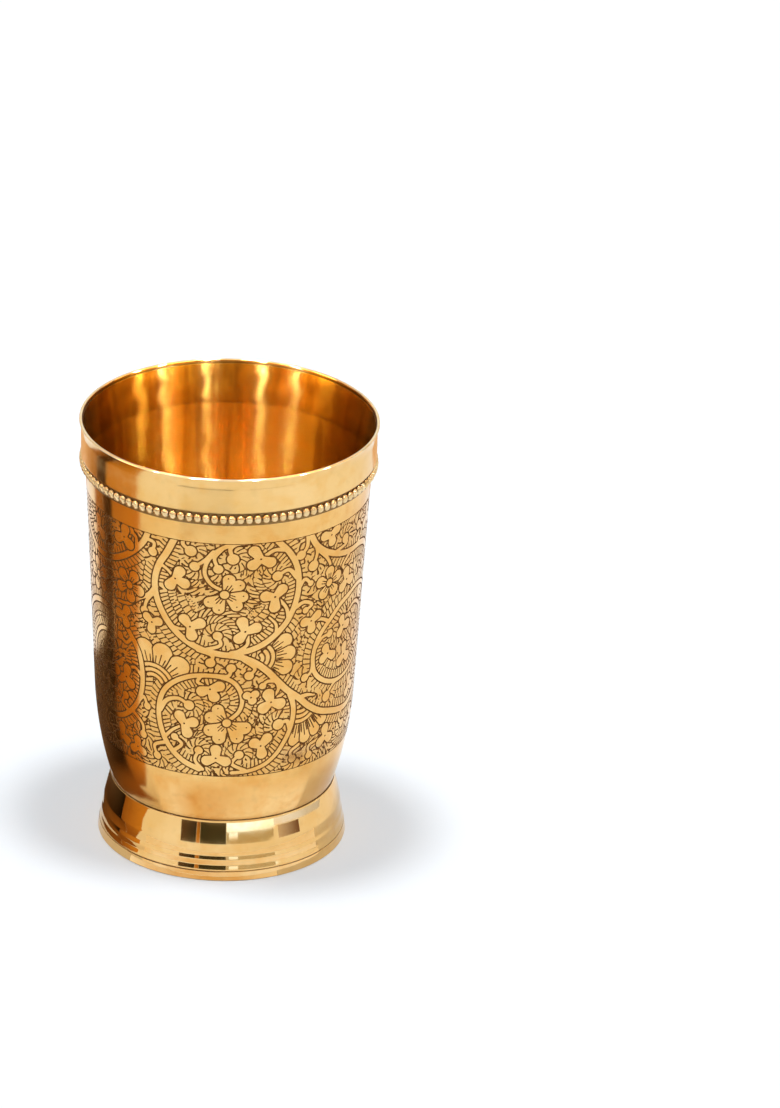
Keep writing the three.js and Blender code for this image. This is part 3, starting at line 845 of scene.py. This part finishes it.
# Engraved wall
engraving = Engraving(FIELD_STEP)
for quarter in range(4):
    half, turn = quarter % 2, (quarter // 2) * math.pi
    dress(engraved_quarter(f"wall_flats_{quarter + 1}", engraving, half, turn, False), wall_brass, *CUP)
    dress(engraved_quarter(f"wall_cuts_{quarter + 1}", engraving, half, turn, True), cuts_brass, *CUP)

# Plain parts of the cup
lower = [(r, CUP_BASE) for r in (0, 6, 13)]
lower += arc(CORNER_CENTRE, CORNER_RADIUS, FLAT, WAIST_LEAN, 16)
lower += arc(BELLY_CENTRE, BELLY_ARC, WAIST_LEAN, float(wall_lean(FIELD_LOW)), 12)[1:]
# Painted shade in the joint between the cup and the foot
dress(lathe("cup_lower", lower, dark=[(WAIST_Z - 0.4, 0.3, 0, 1)]), wall_brass, *CUP)

collar_z = np.array([FIELD_HIGH, 98.5, 100.0, 101.2, 102.0, 102.3, 102.5, 102.7, 103.4, CUP_TOP])
collar = list(zip(wall_radius(collar_z), collar_z))
# Painted shadow along the lower edge of the band's skirt
dress(lathe("cup_collar", collar, dark=[(SKIRT_Z, 0.2, 0, 1)]), wall_brass, *CUP)

bore_top = MOUTH_RADIUS - CUP_WALL / math.cos(WALL_LEAN)
floor_z = CUP_BASE + CUP_FLOOR
inner_belly = arc(BELLY_CENTRE, BELLY_ARC - CUP_WALL, WALL_LEAN, WAIST_LEAN, 14)
inner_corner = arc(CORNER_CENTRE, CORNER_RADIUS - CUP_WALL, WAIST_LEAN, FLAT, 14)[1:]
inner_corner = [p for p in inner_corner if p[1] > floor_z]
cone_down = between((bore_top, CUP_TOP), inner_belly[0], np.linspace(0, 1, 49)[:-1])
WAVES = ((0.03, 5, 0.35, 0), (0.03, 9, -0.52, 1), (0.028, 17, 0.8, 0))  # height, count, twist and start
LINING_PROUD, RING_PROUD, RING_Z, RING_REACH = 0.09, 0.05, 94, 0.7  # the lining's turned ring


def spun_waves(r, z, turn):
    """The slight waves that spinning leaves inside the wall, with one turned ring below the mouth. They fade
    out at the joint with the band, towards the belly and at the lip."""
    free = np.clip(np.abs(CUP_TOP - z) / 3, 0, 1) * np.clip((z - 30) / 10, 0, 1)
    free = free * np.clip((LIP_Z - 1 - z) / 2, 0, 1)
    wave = sum(high * np.sin(count * turn + z * twist + start) for high, count, twist, start in WAVES)
    ring = RING_PROUD * np.exp(-(((z - RING_Z) / RING_REACH) ** 2))
    return r - free * (LINING_PROUD + wave + ring), z


lining = [(MOUTH_RADIUS, CUP_TOP), *cone_down, *inner_belly, *inner_corner, (CORNER_CENTRE[0], floor_z)]
# Painted shade just below the lining's turned ring
lining_shade = [(RING_Z - 0.8, 0.25, 0, 0.3)]
dress(lathe("cup_lining", lining, wobble=spun_waves, dark=lining_shade), lining_brass, *CUP)
bottom = [(r, floor_z) for r in (CORNER_CENTRE[0], 16, 12, 8, 4, 0)]
dress(lathe("cup_bottom_inside", bottom), bottom_brass, *CUP)


# Mouth band
def bore_at(z):
    """Inside of the band's skirt, which laps over the cup's edge."""
    return MOUTH_RADIUS - (CUP_TOP - z) * math.tan(WALL_LEAN) + SOLDER_GAP


lip_centre = (LIP_RADIUS - LIP_ROUND, LIP_Z - LIP_ROUND)
ledge, ledge_z = bore_top + LEDGE_STEP, CUP_TOP + SOLDER_GAP
band = [(bore_at(ledge_z), ledge_z), (bore_at(SKIRT_Z), SKIRT_Z)]
band += [(SKIRT_RADIUS, SKIRT_Z, 0.08), (SKIRT_RADIUS, SHOULDER_Z, 0.05), (BAND_RADIUS, SHOULDER_Z, 0.3)]
band += [(BAND_RADIUS, z) for z in (106.5, 108.5, 110.5)]
band += bezier((BAND_RADIUS, LIP_FLARE_Z), (BAND_RADIUS, LIP_BEND_Z), (LIP_RADIUS, lip_centre[1]), 8)
# Painted shade under the band's shoulder, behind the beaded wire and along the skirt's lower edge
band_shade = [
    (z, reach, SEAT_RADIUS, amount)
    for z, reach, amount in ((SHOULDER_Z, 0.12, 0.85), (SEAT_Z, 1.4, 0.8), (SKIRT_Z + 0.1, 0.25, 0.8))
]
dress(lathe("mouth_band_ring", eased(band), dark=band_shade), band_brass, *BAND)
dress(lathe("mouth_band_lip", arc(lip_centre, LIP_ROUND, 0, -math.pi, 16)), highlight_lip_brass, *BAND)
inside_shares = [0, 0.015, 0.03, 0.04, 0.055, 0.07, 0.085, *np.linspace(0.12, 1, 11)]
inside = between((lip_centre[0] - LIP_ROUND, lip_centre[1]), (ledge, ledge_z), inside_shares)
inside[-1] = (*inside[-1], 0.1)
inside.append((bore_at(ledge_z), ledge_z))
# Painted shade just under the lip on the band's inside
inside_shade = [(LIP_Z - 0.85, 0.25, 0, 0.9)]
dress(lathe("mouth_band_inside", eased(inside), wobble=spun_waves, dark=inside_shade), shaded_inside_brass, *BAND)


# Beaded wire
def beads():
    steps, section = BEAD_COUNT * BEAD_RINGS, BEAD_ARC + 1
    i = np.arange(steps)
    turn = 2 * math.pi * i / steps
    along = (i % BEAD_RINGS) / BEAD_RINGS * 2 - 1
    bead = i // BEAD_RINGS
    size = 1 - 0.035 * (1 + np.sin(bead * 2.4) * np.cos(bead * 0.7))
    round_off = np.maximum(0, 1 - np.abs(along / BEAD_FILL) ** 2.3)
    swell = (np.maximum(BEAD_NECK, np.sqrt(round_off)) * size)[:, None]
    over = np.linspace(0, math.pi, section)
    r = BEAD_BACK + BEAD_PROUD * swell * np.sin(over)
    z = SEAT_Z - 0.5 * BEAD_HEIGHT * swell * np.cos(over)
    points = turned_points(r, turn[:, None], z).reshape(-1, 3)
    here = np.arange(steps * section).reshape(steps, section)
    nxt = np.roll(here, -1, axis=0)
    up, nxt_up = np.roll(here, -1, axis=1), np.roll(nxt, -1, axis=1)
    faces = np.stack([here, nxt, nxt_up, up], axis=-1).reshape(-1, 4)
    obj = mesh_object("beaded_ring", points, [faces], sharp=BEAD_SHARP)
    # Painted shade between the beads and along their edges against the band
    neck, edge = np.clip((0.62 - swell) / 0.25, 0, 1), np.clip(1 - np.sin(over) / 0.35, 0, 1)
    paint_shade_and_polish(obj, np.maximum(neck, edge))
    return obj


dress(beads(), bead_brass(BEAD_TONES), "beaded_wire", "bead_brass")

# Foot
seat_radius = CORNER_RADIUS + SOLDER_GAP
seat_from = math.asin(math.sin(WAIST_LEAN) + SOLDER_GAP / CORNER_RADIUS)
seat_to = seat_from + SEAT_LENGTH / CORNER_RADIUS
seat = arc(CORNER_CENTRE, seat_radius, seat_from, seat_to, 8)
flare_top = (seat[0][0] + FLARE_BREAK, seat[0][1] - FLARE_BREAK)


def foot_profile():
    """The outside of the foot, from the table up."""
    r, z = flare_top
    down = []
    for low, slope in FACETS:
        flare = low == FACETS[0][0]
        for t in np.linspace(0, 1, 13 if flare else 5)[1:]:
            bend = FLARE_BEND * t * (1 - t) if flare else 0.0
            down.append((r + slope * (z - low) * t + bend, z + (low - z) * t))
        r, z = down[-1]
        down[-1] = (r, z, 0.25)
    down[-1] = (r, z, 0.08)
    groove = [(r - 0.1, z - 0.14, 0.05), (r + 0.08, z - 0.3, 0.1)]
    standing = [(FOOT_EDGE - 0.25, 1.2), (FOOT_EDGE, 0.2, 0.15), (FOOT_EDGE - 0.2, 0, 0.1)]
    return (down + groove + standing)[::-1]


foot = [(FOOT_BORE, 0, 0.2), *foot_profile(), (*flare_top, 0.06), *seat]
foot_shade_lines = [(2.55, 0.07, 30, 1), (8.05, 0.03, 29.5, 1), (15.85, 0.06, 0, 1)]  # painted shade in the groove and at the joint, and a fine dark line between them
dress(lathe("foot_turned", eased(foot), closed=True, dark=foot_shade_lines), foot_brass, "foot_ring", "foot_brass")

# Solder inside the foot
SOLDER_LEG, SOLDER_START = 2.0, 0.15
solder_from = seat_to + SOLDER_START / CORNER_RADIUS
on_cup = arc(CORNER_CENTRE, seat_radius, solder_from, solder_from + SOLDER_LEG / CORNER_RADIUS, 6)
corner = np.array(on_cup[0])
down = np.array([FOOT_BORE, 0]) - seat[-1]
on_foot = corner + down / np.hypot(*down) * SOLDER_LEG
pulled = ((np.array(on_cup[-1]) + on_foot) / 2 + corner) / 2
face = bezier(on_cup[-1], pulled, on_foot, 8)


def uneven(r, z, turn):
    """Ripples on the solder's open face, none where it meets the cup and the foot."""
    free = np.zeros(len(r))
    free[: len(face)] = np.sin(np.linspace(0, math.pi, len(face)))
    ripple = 0.5 + 0.22 * np.sin(9 * turn + 0.6) + 0.16 * np.sin(23 * turn + 1.9) + 0.12 * np.sin(41 * turn)
    pull = free[:, None] * np.clip(ripple, 0, 1) * 0.22
    return r + pull * 0.7, z + pull * 0.7


dress(lathe("solder_run", face + on_cup[:-1], closed=True, wobble=uneven), solder, "foot_solder", "solder")

# Floor and light
FLOOR_HALF = 3.0
FLOOR_GLOW = 0.1  # share of the floor's white that doesn't depend on the lamps
AMBIENT = 0.35
ELEVATION = math.radians(25.75)
DISTANCE, TARGET = 1.8, Vector((0, 0, 0.057))
ahead = Vector((0, math.cos(ELEVATION), -math.sin(ELEVATION)))
EYE = TARGET - ahead * DISTANCE


def seen(n):
    """1 for rays from the camera, a mirror or glass, and 0 for the rest."""
    path = n.add("LightPath").outputs
    mirror = n.math("MAXIMUM", path["Is Camera Ray"], path["Is Glossy Ray"])
    return n.math("MAXIMUM", mirror, path["Is Transmission Ray"])


def floor_material():
    n = new_material("floor_white")
    diffuse = n.add("BsdfDiffuse", Color=(0.88, 0.93, 0.98, 1))
    return n.blend(n.span(seen(n), 0, 1, 0, FLOOR_GLOW), diffuse, n.add("Emission"))


def card_material(name, reflections):
    """Glow in the colour of each corner. It shows in so many reflections, and later rays pass through it."""
    n = new_material(name)
    path = n.add("LightPath").outputs
    shows = n.math("LESS_THAN", path["Ray Depth"], reflections + 0.5)
    clear = n.add("BsdfTransparent", Color=n.span(path["Diffuse Depth"], 0, 1, 1, 0))
    return n.blend(shows, clear, n.add("Emission", Color=n.attribute("tone", "Color")))


def reflector(name, points, faces, tones, material=None):
    """A card that only shows in the metal, with a tone for each point."""
    mesh = bpy.data.meshes.new(name)
    mesh.from_pydata([tuple(c * MM for c in p) for p in points], [], faces)
    layer = mesh.attributes.new("tone", "FLOAT_COLOR", "POINT")
    layer.data.foreach_set("color", [c for tone in tones for c in (*tone, 1.0)])
    mesh.materials.append(material or card)
    obj = in_scene(name, mesh)
    obj.visible_camera = obj.visible_diffuse = obj.visible_shadow = False


def cells(rows, columns):
    """Faces between rows of points."""
    steps = [(columns * r + i) for r in range(rows - 1) for i in range(columns - 1)]
    return [(i, i + 1, i + columns + 1, i + columns) for i in steps]


def around(radius, azimuth, z):
    """A point of the set, its azimuth in degrees from the front."""
    a = math.radians(azimuth)
    return radius * math.sin(a), -radius * math.cos(a), z


def strip(name, start, stop, low, high, radius, tone, top=None, material=None):
    """An upright curved screen round the set, between two azimuths."""
    turns = np.linspace(start, stop, max(2, int(abs(stop - start) / 6) + 1))
    points = [around(radius, a, z) for z in (low, high) for a in turns]
    count = len(turns)
    reflector(name, points, cells(2, count), [tone] * count + [top or tone] * count, material)


def drawn(name, rows, steps, where):
    """A card drawn by rows. A row is a place, the azimuths where it starts and stops, and the tones there.
    where gives the card's point for a place and an azimuth."""
    points, tones = [], []
    for place, start, stop, first, last in rows:
        for t in np.linspace(0, 1, steps + 1):
            points.append(where(place, start + (stop - start) * t))
            tones.append([f + (l - f) * t for f, l in zip(first, last)])
    reflector(name, points, cells(len(rows), steps + 1), tones)


def shade(name, level, radius, rows):
    """A flat sheet just over the table, drawn as it shows in an upright wall of a radius. A row's place is
    how far off the sheet lies."""

    def where(reach, azimuth):
        near, far = around(radius, azimuth, level), around(reach, 2 * azimuth, 0)
        return [a + b for a, b in zip(near, far)]

    drawn(name, rows, 4, where)


def foot_card(name, radius, rows):
    """A screen at a radius round the set, drawn as it shows in the foot's flare. A row's place is a height on
    the flare."""
    deep = flare_top[1] - FACETS[0][0]

    def where(z, azimuth):
        down = (flare_top[1] - z) / deep
        r = flare_top[0] + FLARE_SLOPE * (flare_top[1] - z) + FLARE_BEND * down * (1 - down)
        lean = math.atan(FLARE_SLOPE + FLARE_BEND * (1 - 2 * down) / deep)
        place, normal = Vector(around(r, azimuth, z)), Vector(around(math.cos(lean), azimuth, math.sin(lean)))
        ray = (place - EYE / MM).normalized().reflect(normal)
        flat, off = place.xy, ray.xy
        half = flat.dot(off) / off.dot(off)
        go = -half + math.sqrt(half * half + (radius * radius - flat.dot(flat)) / off.dot(off))
        hit = place + ray * go
        return hit.x, hit.y, max(hit.z, SCREEN_FOOT)

    drawn(name, rows, 6, where)


card, sky_card = card_material("card", 1), card_material("sky_card", 2)
DARK, UMBER, DUSK = (0.012, 0.007, 0.003), (0.1, 0.045, 0.014), (0.2, 0.13, 0.075)
RUST, BROWN, ORANGE = (0.3, 0.12, 0.022), (0.45, 0.21, 0.05), (0.68, 0.33, 0.055)
TAN, WHITE, LAMP = (0.58, 0.57, 0.48), (1, 1, 1), (1.6, 2.3, 4.0)
OLIVE, SMOKE, WARM = (0.05, 0.05, 0.028), (0.12, 0.08, 0.05), (0.86, 0.68, 0.46)
EDGE, STAND, LIP_GLOW = (0.85, 0.55, 0.3), (0.76, 0.55, 0.29), (0.97, 0.97, 0.97)
PALE, HAZE, SOOT = (1.05, 1.13, 1.35), (0.74, 0.68, 0.58), (0.16, 0.09, 0.04)
SILVER, PEWTER = (1.1, 1.4, 2.4), (0.66, 0.76, 1.05)
GREY, CLAY = (0.68, 0.66, 0.72), (0.18, 0.1, 0.07)

floor = bpy.data.meshes.new("floor")
corners = [(-1, -1), (1, -1), (1, 1), (-1, 1)]
floor.from_pydata([(x * FLOOR_HALF, y * FLOOR_HALF, 0) for x, y in corners], [], [(0, 1, 2, 3)])
floor.materials.append(floor_material())
in_scene("floor", floor)

# Sheets just over the table that the wall shows. They overlap, so each lies at a height of its own.
UPPER, LOWER = 34, 31  # radii of the wall where they show
NEAR_LEVEL, EDGE_LEVEL, DARK_LEVEL, WARM_LEVEL = 0.2, 0.3, 0.35, 0.4
shade("shade_edge", EDGE_LEVEL, UPPER, [
    (122, -67, -61, DUSK, UMBER), (172, -69, -61.5, BROWN, RUST), (225, -70, -62, BROWN, RUST),
    (230, -76, -62, EDGE, BROWN), (275, -80, -62, EDGE, BROWN),
])
shade("shade_dark", DARK_LEVEL, UPPER, [
    (9, -89, -40, UMBER, RUST), (16, -89, -53, UMBER, RUST), (30, -89, -56.5, UMBER, DARK),
    (56, -89, -56.5, DUSK, DARK), (80, -89, -56, DUSK, DARK), (104, -89, -56, DUSK, DARK),
    (122, -61, -56, UMBER, DARK), (172, -61.5, -55, UMBER, DARK), (275, -62, -55, UMBER, DARK),
])
shade("shade_warm", WARM_LEVEL, UPPER, [
    (16, -53, -47, RUST, RUST), (30, -56.5, -42, RUST, ORANGE), (56, -56.5, -41, RUST, ORANGE),
    (104, -56, -41, RUST, ORANGE), (172, -55, -38.5, BROWN, ORANGE), (275, -55, -37, ORANGE, ORANGE),
])
for name, *ends in (
    ("side", -38, -28, WHITE, PALE), ("left", -28, -15, PALE, WARM),
    ("right", -15, 9, WARM, PALE), ("end", 9, 50, PALE, PALE),
):
    rows = [(7, *ends), (17, *ends), (28, *ends[:2], WHITE, WHITE)]
    shade(f"shade_near_{name}", NEAR_LEVEL, LOWER, rows)
for name, *ends in (("left", -45, -6, PALE, STAND), ("right", -6, 26, STAND, WHITE)):
    shade(f"shade_stand_{name}", NEAR_LEVEL, LOWER, [(1.4, *ends), (6.8, *ends)])

# Screens that the foot shows
CLOSE, NEAR, FAR = 60, 216, 300
SCREEN_FOOT = 0.4  # no screen reaches lower
for name, radius, *rows in (
    ("front", NEAR, (9.4, -20, -12.3, SMOKE, OLIVE), (15.7, -20.5, -12.3, SMOKE, DARK)),
    ("slot", NEAR, (9.4, -12.2, -10.4, ORANGE, ORANGE), (15.7, -12.2, -10.6, BROWN, UMBER)),
    ("front_right", NEAR, (9.4, -10.3, 2.4, OLIVE, OLIVE), (15.7, -10.5, 2.4, OLIVE, OLIVE)),
    ("tan", NEAR, (9.8, 2.6, 26.5, TAN, TAN), (12.9, 2.6, 26.5, TAN, TAN)),
    ("cell", NEAR - 4, (11.1, 3.8, 8.1, WHITE, WHITE), (12.6, 3.8, 8.1, LAMP, LAMP)),
    ("line", FAR, (9.4, 27, 29, LAMP, LAMP), (15.7, 27, 29, LAMP, LAMP)),
    ("bright", FAR, (12.8, 2.6, 27, LAMP, LAMP), (15.8, 2.6, 40, LAMP, LAMP)),
    ("right", CLOSE, (10.0, 29, 41.5, GREY, CLAY), (13.3, 29, 41.5, GREY, CLAY)),
    ("rise", CLOSE, (13.5, 27, 58, SILVER, PEWTER), (15.8, 27, 60, SILVER, PEWTER)),
):
    foot_card(f"screen_{name}", radius, rows)

# A sheet over the table just above the lip, and rings that keep the lamps out of the lip
SHEET_Z, SHIELD_LOW, SHIELD_HIGH = 116.3, 115.9, 118
SHEET = [(42, WHITE), (62, HAZE), (90, HAZE), (112, SOOT), (1500, SOOT)]  # tones from the cup outwards
turns = np.arange(0, 361, 10)
ring = [around(r, a, SHEET_Z) for r, _ in SHEET for a in turns]
dim = [HAZE if tone is SOOT and not 270 <= a < 360 else tone for _, tone in SHEET for a in turns]
reflector("sheet_over", ring, cells(len(SHEET), len(turns)), dim)
for name, radius in (("inner", 36.8), ("outer", 38.9)):
    strip(f"shield_{name}", 0, 360, SHIELD_LOW, SHIELD_HIGH, radius, LIP_GLOW)

# The sky round the set, which the lining shows: a tone from one azimuth to the next
SKY_LOW, SKY_HIGH, SKY_RADIUS = 140, 2600, 1000
SKY_RISE = 9  # how much brighter it is at the top
SKY = [
    (-150, (0.1, 0.036, 0.004)), (-133, (0.5, 0.22, 0.02)), (-125, (0.08, 0.03, 0.003)),
    (-112, (0.55, 0.24, 0.03)), (-104, (0.4, 0.18, 0.02)), (-90, (4.6, 2.8, 0.8)), (-72, (1.3, 0.7, 0.06)),
    (-59, (0.9, 0.46, 0.03)), (-8, (0.4, 0.2, 0.01)), (12, (0.6, 0.33, 0.02)), (30, (1.5, 0.85, 0.09)),
    (52, (1.7, 0.95, 0.11)), (64, (1.5, 0.75, 0.07)), (78, (1.0, 0.45, 0.04)), (94, (1.9, 0.88, 0.08)),
    (101, (0.12, 0.045, 0.004)), (108, (1.0, 0.46, 0.04)), (116, (0.1, 0.036, 0.004)),
    (128, (0.8, 0.36, 0.03)), (137, (0.12, 0.045, 0.004)), (150, None),
]
for (start, tone), (stop, _) in zip(SKY, SKY[1:]):
    top = [SKY_RISE * c for c in tone]
    strip(f"sky_{start % 360}", start, stop, SKY_LOW, SKY_HIGH, SKY_RADIUS, tone, top, sky_card)

# Lamps that the lining shows, and a sheet on the table behind the set
BOX_LOW, BOX_HIGH, LOW_BOX_HIGH, BOX_RADIUS = 190, 1050, 420, 900
BOX, BOX_TOP, SLANT, SLANT_TOP = (6, 6.6, 9), (240, 266, 390), (40, 32, 20), (150, 118, 78)
for place, wide in ((57, 2.6), (19.5, 2.2), (-26, 2), (-55, 1.8)):
    start, stop = place - wide / 2, place + wide / 2
    strip(f"softbox_{int(place) % 360}", start, stop, BOX_LOW, BOX_HIGH, BOX_RADIUS, BOX, BOX_TOP)
strip("softbox_low", 9.2, 10.8, BOX_LOW, LOW_BOX_HIGH, BOX_RADIUS, BOX)
wedge = [around(BOX_RADIUS, a, z) for a, z in ((72, 250), (76, 250), (86, 620), (81, 620))]
reflector("softbox_slanted", wedge, [(0, 1, 2, 3)], [SLANT] * 2 + [SLANT_TOP] * 2)
back = [(x, y, WARM_LEVEL) for x, y in ((-500, 200), (500, 200), (500, 900), (-500, 900))]
reflector("shade_back", back, [(0, 1, 2, 3)], [EDGE] * 4)

SUN_POWER, SUN_SPREAD = 1.3, math.radians(10)
for name, place in (("sun_right", (0.16, -0.06, 1.0)), ("sun_left", (-0.15, 0.0, 1.0))):
    light = bpy.data.lights.new(name, "SUN")
    light.energy, light.angle = SUN_POWER, SUN_SPREAD
    in_scene(name, light).rotation_euler = (-Vector(place)).to_track_quat("-Z", "Y").to_euler()

world = bpy.data.worlds.new("studio")
bpy.context.scene.world = world
air = Nodes(world, "Background")
air.set(Color=(1, 1, 1, 1), Strength=air.span(seen(air), 0, 1, AMBIENT, 1))

# Camera: 1.8 m away, 25.75 degrees above the table and turned so that the cup stands left of the middle
ROLL = math.radians(1.16)
FOCAL_PIXELS, IMAGE_HEIGHT, SENSOR = 7007.0, 1108, 36
OFFSET = (164.5, 72.3)  # picture's middle from the target, right and up, in pixels of a 780 x 1108 image

right, up = Vector((1, 0, 0)), Vector((0, math.sin(ELEVATION), math.cos(ELEVATION)))
right, up = right * math.cos(ROLL) + up * math.sin(ROLL), up * math.cos(ROLL) - right * math.sin(ROLL)
look = (ahead + right * (OFFSET[0] / FOCAL_PIXELS) + up * (OFFSET[1] / FOCAL_PIXELS)).normalized()
side = (right - look * right.dot(look)).normalized()
camera = in_scene("camera", bpy.data.cameras.new("camera"))
camera.data.sensor_width = SENSOR
camera.data.lens = FOCAL_PIXELS / IMAGE_HEIGHT * SENSOR
axes = Matrix((side, side.cross(look), -look)).transposed().to_4x4()
camera.matrix_world = Matrix.Translation(EYE) @ axes
bpy.context.scene.camera = camera
bpy.context.scene.view_settings.view_transform = "Standard"
